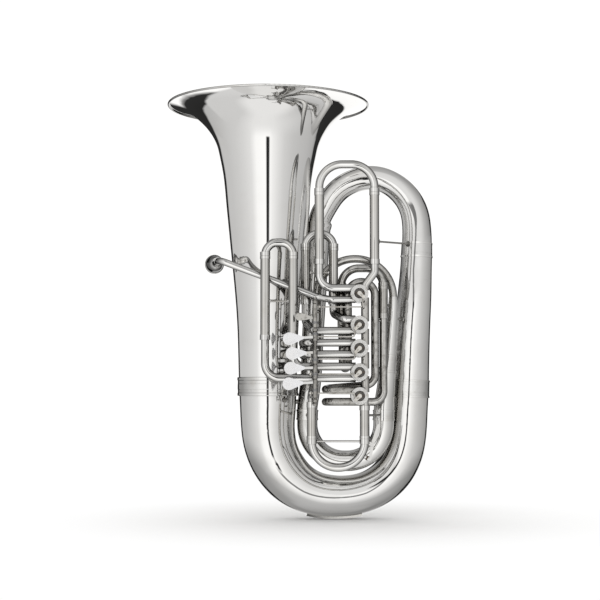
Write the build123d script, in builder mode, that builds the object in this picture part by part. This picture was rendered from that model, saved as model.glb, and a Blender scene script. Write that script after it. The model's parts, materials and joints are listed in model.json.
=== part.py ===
from build123d import *
import math
import os
from collections import namedtuple

# A bell-up brass tuba with five rotary valves, built as separate solid pieces.
# All lengths are in millimetres and Z is up. X runs from the bell toward the outer (right)
# branch, and +Y is the player's side, so "front" means -Y and "back" means +Y.
# Pieces are modelled with the origin on the bell axis, about level with the underside of
# the bottom bow. On export they move so that the origin is under the middle of the whole.

TO_ORIGIN = (-72.274, 0, -1.691)    # from the bell axis to the floor under the middle

# ---------------------------------------------------------------- bell dimensions
BELL_WALL = 1.0
# outer line of the bell, (radius, z) from the bow joint up to the rim
BELL_PROFILE = [
    (64.6, 294.0), (66.2, 344.0), (68.6, 422.6), (71.4, 470.0), (77.0, 533.0),
    (82.9, 590.6), (88.7, 648.4), (95.0, 712.0), (99.9, 762.0), (104.2, 789.0),
    (109.2, 813.0), (114.6, 836.0), (121.6, 853.5), (131.0, 869.5), (143.5, 885.5),
    (159.5, 901.5), (178.5, 916.0), (200.5, 925.3), (222.6, 931.2)]
RIM_R, RIM_Z = BELL_PROFILE[-1]
RIM_WIRE_R = 2.6
# section of the ferrule, (radius, z): a plain sleeve with raised end rings
BELL_FERRULE = [
    (65.9, 275), (67.6, 275), (68.4, 276.5), (68.4, 281), (67.5, 282), (67.5, 289),
    (68.0, 290), (68.0, 301), (67.6, 302), (67.6, 309), (68.7, 310), (68.7, 315),
    (68.2, 316.5), (65.9, 316.5)]

# ---------------------------------------------------------------- large branch dimensions
BOW_WALL = 1.2
INNER_BRANCH_WALL = 1.0

# stations along each branch's centre line, (x, y, z, outer radius)
BOTTOM_BOW = [
    (0, 0, 294, 64.6), (0, 0, 250, 62.6), (0, 0, 212, 60.4), (8.5, 0.3, 157, 58.6),
    (36.9, 1.5, 103.9, 56.0), (66.5, 2.8, 76.0, 52.6), (104.2, 4.4, 58.6, 48.6),
    (158.6, 6.5, 52.0, 45.4), (217.8, 8.6, 61.0, 44.4), (271.4, 10.4, 94.6, 44.4),
    (303.5, 11.5, 150.5, 44.6), (313.0, 12, 212, 44.5), (315.6, 12, 254, 44.1),
    (318.2, 12, 292.6, 43.5)]
RIGHT_BRANCH = [
    BOTTOM_BOW[-1], (322.6, 12, 388.9, 41.6), (329.6, 12.6, 490.1, 38.9),
    (336.3, 14, 603.1, 34.3)]
TOP_BOW = [
    RIGHT_BRANCH[-1], (336.6, 15, 650, 33.0), (330.5, 16, 691.7, 31.6),
    (317.5, 17.5, 719.5, 30.4), (283.5, 20, 753.5, 28.6), (236.5, 23.5, 770.2, 27.4),
    (190.0, 27, 761.6, 26.9), (149.5, 30, 732.5, 26.6), (124.5, 31.5, 693.2, 26.3),
    (114.5, 32, 649.8, 26.0)]
LEFT_BRANCH = [
    TOP_BOW[-1], (107.4, 27, 520, 25.3), (99.2, 19, 370, 24.4), (95.2, 15, 300, 23.8),
    (88.2, 10, 232, 23.0)]
INNER_BRANCH = [
    (256.9, -36, 232, 23.0), (261.6, -36.5, 290, 20.4), (267.6, -38, 350, 17.2),
    (275.0, -40, 430, 12.6), (278.4, -42, 494.6, 9.6)]

# the inner bottom bow drops from the left branch and rises to the inner branch
INNER_BOW_LEFT = LEFT_BRANCH[-1][:3]
INNER_BOW_RIGHT = INNER_BRANCH[0][:3]
INNER_BOW_TUBE = LEFT_BRANCH[-1][3]
INNER_BOW_BEND = 83.0
INNER_BOW_DROP = 101.0
INNER_BOW_LEAN = 11.5

# directions of the tube axis where branches meet
DOWN = (0, 0, -1)
UP = (0, 0, 1)
JOIN_RIGHT = (0.045, 0, 1)
JOIN_RIGHT_TOP = (0.04, 0.015, 1)
JOIN_LEFT_TOP = (-0.07, -0.03, -1)
JOIN_INNER_LEFT = (0, -INNER_BOW_LEAN, -INNER_BOW_DROP)
JOIN_INNER_RIGHT = (0, -INNER_BOW_LEAN, INNER_BOW_DROP)

# ferrules over the branch joints: (lower end, radius), (upper end, radius), sleeve wall
BRANCH_FERRULES = [
    (((317.3, 12, 272), 43.95), ((319.0, 12, 311), 43.35), 1.2),
    (((265.1, -37.3, 328), 18.7), ((269.4, -38.4, 366), 16.4), 0.9),
    (((335.5, 13.8, 586), 35.05), ((336.7, 14.4, 620), 33.9), 1.0),
    (((113.2, 31.4, 632), 26.05), ((115.7, 32.6, 668), 26.2), 0.9),
    (((88.0, 9.8, 221), 23.0), ((88.4, 10.2, 244), 23.15), 1.1),
    (((256.8, -35.8, 221), 23.0), ((257.1, -36, 244), 22.7), 1.0)]

# guard strip under the bottom bow
GUARD_X = (93, 207)
GUARD_MAX_Z = 90
GUARD_Y = 6.5
GUARD_HALF_WIDTH = 9
GUARD_SINK = 0.7
GUARD_THICK = 4.4

# ---------------------------------------------------------------- valve dimensions
VALVE_X = 200.0
PORT_Y = -111.0             # plane of the valve ports and most of the front slides
THIRD_Y = -116.0            # the third slide and its ports lie further forward
PORT_OFF = 12.5             # port height above and below the rotor axis
CASING_FRONT = -131.0
CASING_BACK = -92.0
CASING_R = 18.6
CASING_BORE = 17.05
CASING_FRONT_WALL = 4
CAP_R = 19.2                # front rings and back caps
FRONT_RING_BORE = 10.9
FRONT_RING_THICK = 3.2
BACK_CAP_THICK = 3.4
BEARING_FRONT = -95.9
BEARING_R = 17.02
BEARING_BORE = 4.05
ROTOR_R = 17.0              # 0.05 running clearance in the casing
ROTOR_BACK = -96.3
ROTOR_FRONT = -126.7
JOURNAL_BACK = -92.6
JOURNAL_R = 4.0
NECK_FRONT = -131.3         # thick part of the stem, inside the casing wall
NECK_R = 5.0
STEM_R = 3.0
KNUCKLE_X = 213.0
KNUCKLE_INSET = 8           # height of a knuckle's end from the rotor axis
TUBE_R = 8.8                # cylindrical valve tubing, outer
TUBE_BORE = 7.9
PORT_R = TUBE_BORE - 0.4
TUBE_END_X = VALVE_X - 8    # tubes run into the casing this far before they are trimmed
SLEEVE_R = 10.4             # outer slide legs
SLEEVE_BORE = 9.55
INNER_R = 9.5               # inner slide legs, 0.05 running clearance
INNER_BORE = 8.5
CROOK_R = 9.0
CROOK_BORE = 8.0

# stop work and linkage
ARM_R = 12.0                # stop arm, rotor axis to ball pin
ARM_REST = 45.0             # degrees either side of straight down
ARM_BACK = -131.6
ARM_FRONT = -138.4
ARM_PLATE_THICK = 3.2
ARM_SCREW_FRONT = -139.8
CORK_FRONT = -138.0
CORK_ANGLE = ARM_REST + 47
CORK_DISTANCE = 8.3
PIN_SHIFT = ARM_R * math.sin(math.radians(ARM_REST))
PIN_DROP = ARM_R * math.cos(math.radians(ARM_REST))
ROD_Y = -141.7
ROD_R = 1.5
AXLE_X, AXLE_Y = 104.0, -169.0
AXLE_R = 3.0
AXLE_BORE = AXLE_R + 0.05
AXLE_END_R = 4.6
HUB_R = 5.2
LEVER_ARM = 28.0
LEVER_HALF = 18.0           # degrees, half of the lever swing
TIP_SHIFT = LEVER_ARM * math.sin(math.radians(LEVER_HALF))
TIP_Y = AXLE_Y + LEVER_ARM * math.cos(math.radians(LEVER_HALF))
PADDLE_R = 13.4
LEVER_NECK_R = 2.6          # rounded ends of the narrow part of a lever plate
LEVER_HALF_THICK = 1.5

# One row per valve, from the top down. "side" is the X side of straight down on which the
# stop arm rests, "tilt" turns the touch plate about the axle in degrees, "reach" is the
# distance from the axle to the middle of the touch pad.
Valve = namedtuple(
    "Valve", "axis_z port_y side rod_z hub_low hub_high tilt reach pad_z tail_z pad_r")
VALVES = {
    "thumb": Valve(496.2, PORT_Y, 1, 466.0, 421, 470, -12.7, 34, 444, 440, 8.5),
    "first": Valve(428.3, PORT_Y, -1, 402.0, 392, 410, 6, 55.7, 396.3, 400.2, PADDLE_R),
    "second": Valve(377.7, PORT_Y, -1, 354.0, 344, 373, 6, 49.5, 365.0, 367.6, PADDLE_R),
    "third": Valve(326.0, THIRD_Y, -1, 322.0, 312, 340, 6, 53.0, 333.7, 335.0, PADDLE_R),
    "fourth": Valve(274.9, PORT_Y, -1, 281.0, 271, 308.5, 6, 56.4, 300.8, 303.8, PADDLE_R)}
THUMB_Z, FIRST_Z, SECOND_Z, THIRD_Z, FOURTH_Z = [v.axis_z for v in VALVES.values()]

# return springs, (bottom z, height)
SPRINGS = [(404.0, 5.0), (349.0, 6.0), (318.0, 6.0), (284.5, 6.0), (428.0, 6.0)]

# ---------------------------------------------------------------- slide dimensions
# legs are (x, y), left then right; joint is the bottom of the outer legs, mouth the top
THUMB_LEGS = ((113.8, PORT_Y), (234.0, PORT_Y))
THUMB_JOINT_Z, THUMB_MOUTH_Z = 566.0, 718.0
FIRST_LEGS = ((84.0, -78.0), (145.0, -78.0))
FIRST_JOINT_Z, FIRST_MOUTH_Z = 480, 600.0
THIRD_LEGS = ((-4.0, THIRD_Y), (56.6, THIRD_Y))
THIRD_JOINT_Z, THIRD_MOUTH_Z = 401.0, 578.0
FOURTH_LEGS = ((163.0, -60.0), (254.8, -68.0))
FOURTH_JOINT_Z, FOURTH_MOUTH_Z = 450, 516.0
ARCH_LEGS = ((177.0, -78.0), (236.0, -78.0))    # fixed arch of the fourth valve circuit
ARCH_TOP_Z = 525
FOURTH_TURN_X = 127.5       # where the fourth valve tubes turn toward the back

SECOND_X = 80.0             # the second slide pulls out toward +Y
SECOND_MOUTH_Y = -62
SECOND_CROWN_Y = -42
SECOND_CAP_R = 10.9

MAIN_LEGS = ((97.0, PORT_Y), (211.4, PORT_Y))
MAIN_MID_X = (MAIN_LEGS[0][0] + MAIN_LEGS[1][0]) / 2
MAIN_MOUTH_Z = 183
MAIN_CROWN_Z = 121.0
PULL_BAR_Z = 177.5

CAP_LEG_R = 11.3            # rings at the mouths of the outer legs
JOINT_R = 11.4              # rings where tubing meets the outer legs

# inner arch, over the valves
INNER_ARCH_X, INNER_ARCH_Y = 109.6, -42
INNER_ARCH_TOP_Z = 578.9
INNER_ARCH_R = 8.9

# water key on the main slide, its nipple pointing out and down from a centre
KEY_CENTRE_Z = 177.6
KEY_ANGLE = math.radians(30)
HINGE_X, HINGE_Z = 228, 170
HINGE_PIN_R = 1.3
KEY_CUP_FLOOR = 73.2        # distances from the centre along the nipple
KEY_CUP_END = 75.0

# leadpipe and mouthpiece
KNEE = Vector(-104, -97, 571)
MOUTH_DIR = Vector(-0.17, 1, 0.0).normalized()
LEADPIPE_R, LEADPIPE_BORE = 7.6, 6.7
RECEIVER_BORE = 6.56
MOUTHPIECE_START = 33       # distance from the knee to the shank's tip

os.makedirs("parts", exist_ok=True)


# ---------------------------------------------------------------- helpers
def ring_plane(point, tangent):
    """Plane across a tube at a point, its x direction kept near +Y."""
    tangent = Vector(*tangent).normalized()
    side = Vector(0, 1, 0)
    if abs(tangent.Y) > 0.9:
        side = Vector(0, 0, 1)
    side = (side - tangent * side.dot(tangent)).normalized()
    return Plane(origin=Vector(*point), x_dir=side, z_dir=tangent)


def section(point, tangent, radius, bore=None):
    """Disc, or ring when a bore is given, square across a tube."""
    with BuildSketch(ring_plane(point, tangent), mode=Mode.PRIVATE) as ring:
        Circle(radius)
        if bore:
            Circle(bore, mode=Mode.SUBTRACT)
    return ring.sketch


def hull(plane, *discs):
    """Flat plate outline wrapped round discs given as (x, y, radius)."""
    with BuildSketch(plane, mode=Mode.PRIVATE) as plate:
        for x, y, radius in discs:
            with Locations((x, y)):
                Circle(radius)
        make_hull()
    return plate.sketch


def stations(rows, count, start, end):
    """Even stations (point, tangent, radius) along the smooth line through rows."""
    with BuildLine(mode=Mode.PRIVATE) as run:
        Spline(*[row[:3] for row in rows], tangents=[start, end])
    line = run.line.edges()[0]
    marks = [0.0]
    for a, b in zip(rows, rows[1:]):
        marks.append(marks[-1] + (Vector(*b[:3]) - Vector(*a[:3])).length)
    marks = [mark / marks[-1] for mark in marks]
    rings = []
    for i in range(count + 1):
        u = i / count
        k = max(j for j in range(len(rows) - 1) if marks[j] <= u + 1e-9)
        share = (u - marks[k]) / (marks[k + 1] - marks[k])
        radius = rows[k][3] + (rows[k + 1][3] - rows[k][3]) * share
        rings.append((line @ u, line % u, radius))
    return rings


def taper(rows, count, wall, start, end):
    """Hollow conical branch through the given stations."""
    rings = stations(rows, count, start, end)
    outer = [section(point, tangent, radius) for point, tangent, radius in rings]
    inner = [section(point, tangent, radius - wall) for point, tangent, radius in rings]
    loft(sections=outer)
    loft(sections=inner, mode=Mode.SUBTRACT)


def tube(points, bend, outer, bore=None):
    """Tube of constant section along straight runs joined by bends."""
    with BuildLine(mode=Mode.PRIVATE) as run:
        FilletPolyline(*points, radius=bend)
    sweep(sections=section(run.line @ 0, run.line % 0, outer, bore), path=run.line)


def rod(a, b, radius, mode=Mode.ADD):
    """Straight round bar from a to b."""
    a, b = Vector(*a), Vector(*b)
    extrude(section(a, b - a, radius), amount=(b - a).length, dir=(b - a).normalized(),
            mode=mode)


def rod_y(x, z, y_from, y_to, radius, mode=Mode.ADD):
    """Round bar parallel to Y."""
    rod((x, y_from, z), (x, y_to, z), radius, mode)


def rod_z(x, y, z_from, z_to, radius, mode=Mode.ADD):
    """Round bar parallel to Z."""
    rod((x, y, z_from), (x, y, z_to), radius, mode)


def sleeve(a, b, outer, bore):
    """Short straight ring from a to b."""
    a, b = Vector(*a), Vector(*b)
    extrude(section(a, b - a, outer, bore), amount=(b - a).length, dir=(b - a).normalized())


def sleeve_z(place, z_from, z_to, outer, bore):
    """Upright ring at place, an (x, y) pair."""
    sleeve((*place, z_from), (*place, z_to), outer, bore)


def save_piece(part, name):
    """Write one piece, moved to the final origin."""
    placed = part.moved(Location(TO_ORIGIN))
    placed.label = name
    export_step(placed, "parts/" + name + ".step")


# ---------------------------------------------------------------- bell
def offset_profile(points, wall):
    """The profile moved inward by the wall, its first point kept level."""
    moved = []
    for i, (r, z) in enumerate(points):
        before = points[max(i - 1, 0)]
        after = points[min(i + 1, len(points) - 1)]
        dr, dz = after[0] - before[0], after[1] - before[1]
        length = math.hypot(dr, dz)
        moved.append((r - dz / length * wall, z + dr / length * wall))
    moved[0] = (points[0][0] - wall, points[0][1])
    return moved


inner_profile = offset_profile(BELL_PROFILE, BELL_WALL)
with BuildPart() as bell:
    with BuildSketch(Plane.XZ):
        with BuildLine():
            Spline(*BELL_PROFILE)
            Spline(*inner_profile)
            Line(BELL_PROFILE[0], inner_profile[0])
            Line(BELL_PROFILE[-1], inner_profile[-1])
        make_face()
    revolve(axis=Axis.Z)
save_piece(bell.part, "bell")

# rolled rim wire, flattened on top where the instrument rests bell-down
with BuildPart() as bell_rim_wire:
    with BuildSketch(Plane.XZ):
        with Locations((RIM_R + RIM_WIRE_R + 0.02, RIM_Z)):
            Circle(RIM_WIRE_R)
        with Locations((RIM_R + RIM_WIRE_R, RIM_Z + RIM_WIRE_R)):
            Rectangle(8, 1.2, mode=Mode.SUBTRACT)
    revolve(axis=Axis.Z)
save_piece(bell_rim_wire.part, "bell_rim_wire")

# ferrule over the bell and bow joint
with BuildPart() as bell_ferrule:
    with BuildSketch(Plane.XZ):
        with BuildLine():
            Polyline(*BELL_FERRULE, close=True)
        make_face()
    revolve(axis=Axis.Z)
save_piece(bell_ferrule.part, "bell_ferrule")

# ---------------------------------------------------------------- large branches
with BuildPart() as bottom_bow:
    taper(BOTTOM_BOW, 26, BOW_WALL, DOWN, JOIN_RIGHT)
save_piece(bottom_bow.part, "bottom_bow")

# name, stations, number of steps, wall, start direction, end direction
for name, rows, steps, wall, start, end in (
        ("right_branch", RIGHT_BRANCH, 8, BOW_WALL, JOIN_RIGHT, JOIN_RIGHT_TOP),
        ("top_bow", TOP_BOW, 20, BOW_WALL, JOIN_RIGHT_TOP, JOIN_LEFT_TOP),
        ("left_branch", LEFT_BRANCH, 8, BOW_WALL, JOIN_LEFT_TOP, JOIN_INNER_LEFT),
        ("inner_branch", INNER_BRANCH, 8, INNER_BRANCH_WALL, JOIN_INNER_RIGHT, UP)):
    with BuildPart() as branch:
        taper(rows, steps, wall, start, end)
    save_piece(branch.part, name)

with BuildPart() as inner_bottom_bow:
    tube([INNER_BOW_LEFT,
          tuple(Vector(*INNER_BOW_LEFT) + Vector(*JOIN_INNER_LEFT)),
          tuple(Vector(*INNER_BOW_RIGHT) - Vector(*JOIN_INNER_RIGHT)),
          INNER_BOW_RIGHT],
         INNER_BOW_BEND, INNER_BOW_TUBE, INNER_BOW_TUBE - BOW_WALL)
save_piece(inner_bottom_bow.part, "inner_bottom_bow")

# arch over the valves, from the main tuning slide to the inner branch
arch_end_x, arch_end_y, arch_end_z = INNER_BRANCH[-1][:3]
with BuildPart() as inner_arch:
    tube([(*MAIN_LEGS[0], 254), (*MAIN_LEGS[0], 272), (INNER_ARCH_X, -44, 345),
          (INNER_ARCH_X, INNER_ARCH_Y, INNER_ARCH_TOP_Z),
          (arch_end_x, arch_end_y, INNER_ARCH_TOP_Z), (arch_end_x, arch_end_y, arch_end_z)],
         [14, 40, 83.6, 83.6], INNER_ARCH_R, TUBE_BORE)
save_piece(inner_arch.part, "inner_arch")

# guard strip along the underside of the bottom bow
guard_in, guard_out = [], []
for point, tangent, radius in stations(BOTTOM_BOW, 60, DOWN, JOIN_RIGHT):
    if GUARD_X[0] < point.X < GUARD_X[1] and point.Z < GUARD_MAX_Z:
        outward = Vector(tangent.Z, 0, -tangent.X).normalized()
        for edge, distance in ((guard_in, radius - GUARD_SINK),
                               (guard_out, radius + GUARD_THICK)):
            spot = point + outward * distance
            edge.append((spot.X, spot.Z))
with BuildPart() as bottom_bow_guard:
    with BuildSketch(Plane.XZ.offset(-GUARD_Y)):
        with BuildLine():
            Spline(*guard_in)
            Spline(*guard_out)
            Line(guard_in[0], guard_out[0])
            Line(guard_in[-1], guard_out[-1])
        make_face()
    extrude(amount=GUARD_HALF_WIDTH, both=True)
    add(bottom_bow.part, mode=Mode.SUBTRACT)
save_piece(bottom_bow_guard.part, "bottom_bow_guard")


def collar(low, high, wall):
    """Conical sleeve over a joint with two raised end beads; ends are (point, radius)."""
    (a, radius_a), (b, radius_b) = low, high
    a, b = Vector(*a), Vector(*b)
    along = (b - a).normalized()
    outer, inner = [[section(a, along, radius_a + extra), section(b, along, radius_b + extra)]
                    for extra in (wall, 0.0)]
    loft(sections=outer)
    for point, radius, inward in ((a, radius_a, along), (b, radius_b, along * -1)):
        extrude(section(point, inward, radius + wall * 1.7), amount=4, dir=inward)
    loft(sections=inner, mode=Mode.SUBTRACT)


with BuildPart() as branch_ferrules:
    for low, high, wall in BRANCH_FERRULES:
        collar(low, high, wall)
save_piece(branch_ferrules.part, "branch_ferrules")


# ---------------------------------------------------------------- valves
def casing(valve):
    """Cup-shaped rotary casing with a front wall and four port holes."""
    z, y = valve.axis_z, valve.port_y
    rod_y(VALVE_X, z, CASING_BACK, CASING_FRONT, CASING_R)
    rod_y(VALVE_X, z, CASING_BACK, CASING_FRONT + CASING_FRONT_WALL, CASING_BORE,
          Mode.SUBTRACT)
    rod_y(VALVE_X, z, -120, CASING_FRONT - 1, NECK_R + 0.06, Mode.SUBTRACT)
    for s in (1, -1):
        port_z = z + s * PORT_OFF
        rod((VALVE_X - 30, y, port_z), (VALVE_X - 6, y, port_z), PORT_R, Mode.SUBTRACT)
        rod_z(KNUCKLE_X, PORT_Y, z + s * 7, z + s * 26, PORT_R, Mode.SUBTRACT)


def cut_casing(z):
    """Trim away whatever reaches inside the casing at height z."""
    rod_y(VALVE_X, z, CASING_BACK + 5, CASING_FRONT - 5, CASING_R, Mode.SUBTRACT)


def rotor(valve):
    """Rotor with two crescent passages, front stem and rear journal."""
    z, y = valve.axis_z, valve.port_y
    rod_y(VALVE_X, z, ROTOR_BACK, ROTOR_FRONT, ROTOR_R)
    rod_y(VALVE_X, z, ROTOR_FRONT, NECK_FRONT, NECK_R)
    rod_y(VALVE_X, z, NECK_FRONT, ARM_FRONT, STEM_R)
    rod_y(VALVE_X, z, JOURNAL_BACK, ROTOR_BACK, JOURNAL_R)
    for s in (1, -1):
        with BuildLine(mode=Mode.PRIVATE) as bend:
            ThreePointArc((VALVE_X + s * 18.7, y, z + 12.0), (VALVE_X + s * 6.7, y, z),
                          (VALVE_X + s * 18.7, y, z - 12.0))
        start = ring_plane(bend.line @ 0, bend.line % 0)
        with BuildSketch(start, mode=Mode.PRIVATE) as oval:
            Ellipse(7.2, 5.6)
        sweep(sections=oval.sketch, path=bend.line, mode=Mode.SUBTRACT)


def arm_pin(valve):
    """X and Z of the ball pin on the resting stop arm."""
    return VALVE_X + valve.side * PIN_SHIFT, valve.axis_z - PIN_DROP


def stop_arm(valve):
    """Stop arm with hub, ball pin and hub screw."""
    z = valve.axis_z
    pin_x, pin_z = arm_pin(valve)
    rod_y(VALVE_X, z, ARM_FRONT, ARM_BACK, 4.6)
    plate_plane = Plane.XZ.offset(-(ARM_FRONT + ARM_PLATE_THICK))
    extrude(hull(plate_plane, (VALVE_X, z, 4.4), (pin_x, pin_z, 3.0)),
            amount=ARM_PLATE_THICK)
    rod_y(pin_x, pin_z, -138.3, -144.4, 1.6)
    rod_y(VALVE_X, z, -120, ARM_FRONT, STEM_R + 0.02, Mode.SUBTRACT)
    rod_y(VALVE_X, z, ARM_FRONT, ARM_SCREW_FRONT, 4.0)


def link_rod(valve):
    """Dog-legged connecting rod, an eye on the stop arm pin and an eye on the lever pin."""
    pin_x, pin_z = arm_pin(valve)
    tip_x = AXLE_X + valve.side * TIP_SHIFT
    z = valve.rod_z
    tube([(pin_x, ROD_Y, pin_z), (pin_x - 4, ROD_Y, z), (tip_x + 4, ROD_Y, z)], 3, ROD_R)
    rod_y(pin_x, pin_z, -143.5, -140.0, 3.6)
    rod_z(tip_x, ROD_Y, z - 2, z + 2, 5.2)
    rod_y(pin_x, pin_z, -150, -130, 1.66, Mode.SUBTRACT)
    rod_z(tip_x, ROD_Y, z - 4, z + 4, 3.2, Mode.SUBTRACT)


def lever(valve):
    """Key lever: touch plate and tail, hub on the axle, linkage arm and pin."""
    tilt = math.radians(valve.tilt)
    # x of this plane runs out from the axle toward the pad, y is up
    face = Plane(origin=Vector(AXLE_X, AXLE_Y, 0),
                 x_dir=Vector(-math.cos(tilt), -math.sin(tilt), 0),
                 z_dir=Vector(-math.sin(tilt), math.cos(tilt), 0))
    neck = (valve.reach - valve.pad_r - 17,
            valve.pad_z + (valve.tail_z - valve.pad_z) * 0.6, LEVER_NECK_R)
    touch = hull(face, (valve.reach, valve.pad_z, valve.pad_r), neck)
    tail = hull(face, neck, (2.5, valve.tail_z, LEVER_NECK_R))
    extrude(touch, amount=LEVER_HALF_THICK, both=True)
    extrude(tail, amount=LEVER_HALF_THICK, both=True)
    rod_z(AXLE_X, AXLE_Y, valve.hub_low, valve.hub_high, HUB_R)
    tip_x = AXLE_X + valve.side * TIP_SHIFT
    extrude(hull(Plane.XY.offset(valve.rod_z - 10), (AXLE_X, AXLE_Y, 4.0), (tip_x, TIP_Y, 3.0)),
            amount=3)
    rod_z(tip_x, TIP_Y, valve.rod_z - 8, valve.rod_z + 4.5, 1.5)
    rod_z(AXLE_X, AXLE_Y, valve.hub_low - 5, valve.hub_high + 5, AXLE_BORE, Mode.SUBTRACT)


with BuildPart() as valve_casings:
    for valve in VALVES.values():
        casing(valve)
save_piece(valve_casings.part, "valve_casings")

# the moving pieces of every valve, each a piece of its own
for valve_name, valve in VALVES.items():
    for kind, build in (("rotor", rotor), ("stop_arm", stop_arm), ("rod", link_rod),
                        ("lever", lever)):
        with BuildPart() as moving:
            build(valve)
        save_piece(moving.part, valve_name + "_" + kind)

# broad flat washers on the front of the valves
with BuildPart() as front_rings:
    for valve in VALVES.values():
        sleeve((VALVE_X, CASING_FRONT, valve.axis_z),
               (VALVE_X, CASING_FRONT - FRONT_RING_THICK, valve.axis_z),
               CAP_R, FRONT_RING_BORE)
    chamfer(front_rings.edges().filter_by(GeomType.CIRCLE).group_by(Axis.Y)[0], 0.6)
save_piece(front_rings.part, "front_rings")

# screw caps on the back of the valves
with BuildPart() as back_caps:
    for valve in VALVES.values():
        rod_y(VALVE_X, valve.axis_z, CASING_BACK, CASING_BACK + BACK_CAP_THICK, CAP_R)
    chamfer(back_caps.edges().filter_by(GeomType.CIRCLE).group_by(Axis.Y)[-1], 1.0)
save_piece(back_caps.part, "back_caps")

# bearing plates inside the back of the casings
with BuildPart() as rear_bearings:
    for valve in VALVES.values():
        sleeve((VALVE_X, BEARING_FRONT, valve.axis_z), (VALVE_X, CASING_BACK, valve.axis_z),
               BEARING_R, BEARING_BORE)
save_piece(rear_bearings.part, "rear_bearings")

# pairs of stop corks either side of every stop arm
with BuildPart() as stop_corks:
    for valve in VALVES.values():
        for s in (1, -1):
            angle = math.radians(CORK_ANGLE) * s
            rod_y(VALVE_X + CORK_DISTANCE * math.sin(angle),
                  valve.axis_z - CORK_DISTANCE * math.cos(angle),
                  CASING_FRONT, CORK_FRONT, 1.9)
save_piece(stop_corks.part, "stop_corks")

# knuckles joining one valve to the next
with BuildPart() as valve_knuckles:
    heights = [valve.axis_z for valve in VALVES.values()]
    for upper, lower in zip(heights, heights[1:]):
        sleeve_z((KNUCKLE_X, PORT_Y), lower + KNUCKLE_INSET, upper - KNUCKLE_INSET,
                 TUBE_R, TUBE_BORE)
    for z in heights:
        cut_casing(z)
save_piece(valve_knuckles.part, "valve_knuckles")


# ---------------------------------------------------------------- slides
def outer_leg(place, joint_z, mouth_z):
    """Outer slide leg, from a ringed joint up to its ringed open mouth."""
    sleeve_z(place, joint_z - 5, joint_z + 6, JOINT_R, TUBE_BORE)
    sleeve_z(place, joint_z + 5.9, mouth_z, SLEEVE_R, SLEEVE_BORE)
    sleeve_z(place, mouth_z - 6, mouth_z, CAP_LEG_R, SLEEVE_BORE)


def crook(legs, mouth_z, crown_z, bend, depth, ferrule_r=11.2, ferrule_top=9):
    """Moving slide: crook, its two ferrules and the inner legs reaching depth into the sleeves."""
    left, right = legs
    tube([(*left, mouth_z + 1.0), (*left, crown_z), (*right, crown_z), (*right, mouth_z + 1.0)],
         bend, CROOK_R, CROOK_BORE)
    for place in legs:
        sleeve_z(place, mouth_z + 0.5, mouth_z + ferrule_top, ferrule_r, 8.2)
        sleeve_z(place, mouth_z + 4, mouth_z - depth, INNER_R, INNER_BORE)


# thumb valve slide, the tallest
left, right = THUMB_LEGS
with BuildPart() as thumb_slide_receiver:
    port_z = THUMB_Z + PORT_OFF
    tube([(TUBE_END_X, PORT_Y, port_z), (*left, port_z), (*left, THUMB_JOINT_Z)], 30,
         TUBE_R, TUBE_BORE)
    tube([(KNUCKLE_X, PORT_Y, THUMB_Z + KNUCKLE_INSET), (KNUCKLE_X, PORT_Y, 515),
          (*right, 543), (*right, THUMB_JOINT_Z)], 14, TUBE_R, TUBE_BORE)
    for place in THUMB_LEGS:
        outer_leg(place, THUMB_JOINT_Z, THUMB_MOUTH_Z)
    cut_casing(THUMB_Z)
save_piece(thumb_slide_receiver.part, "thumb_slide_receiver")

with BuildPart() as thumb_slide:
    crook(THUMB_LEGS, THUMB_MOUTH_Z, 780.0, 50, 138)
save_piece(thumb_slide.part, "thumb_slide")

# first valve slide
left, right = FIRST_LEGS
with BuildPart() as first_slide_receiver:
    tube([(*right, FIRST_JOINT_Z), (*right, 455), (166, PORT_Y, FIRST_Z + PORT_OFF),
          (TUBE_END_X, PORT_Y, FIRST_Z + PORT_OFF)], [12, 12], TUBE_R, TUBE_BORE)
    tube([(*left, FIRST_JOINT_Z), (*left, 436), (101, PORT_Y, FIRST_Z - PORT_OFF),
          (TUBE_END_X, PORT_Y, FIRST_Z - PORT_OFF)], [12, 12], TUBE_R, TUBE_BORE)
    for place in FIRST_LEGS:
        outer_leg(place, FIRST_JOINT_Z, FIRST_MOUTH_Z)
    cut_casing(FIRST_Z)
save_piece(first_slide_receiver.part, "first_slide_receiver")

with BuildPart() as first_slide:
    crook(FIRST_LEGS, FIRST_MOUTH_Z, 631.0, 29, 105)
save_piece(first_slide.part, "first_slide")

# second valve slide, turned to pull toward the player
SECOND_LEG_Z = (SECOND_Z + PORT_OFF, SECOND_Z - PORT_OFF)
with BuildPart() as second_slide_receiver:
    for z in SECOND_LEG_Z:
        tube([(TUBE_END_X, PORT_Y, z), (SECOND_X, PORT_Y, z), (SECOND_X, -90, z)], 15,
             TUBE_R, TUBE_BORE)
        # start y, end y, outer radius, bore: joint ring, leg, mouth ring
        for y_from, y_to, outer, bore in (
                (-93, -88, SECOND_CAP_R, TUBE_BORE),
                (-88.1, SECOND_MOUTH_Y, SLEEVE_R, SLEEVE_BORE),
                (SECOND_MOUTH_Y - 4, SECOND_MOUTH_Y, SECOND_CAP_R, SLEEVE_BORE)):
            sleeve((SECOND_X, y_from, z), (SECOND_X, y_to, z), outer, bore)
    cut_casing(SECOND_Z)
save_piece(second_slide_receiver.part, "second_slide_receiver")

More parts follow.
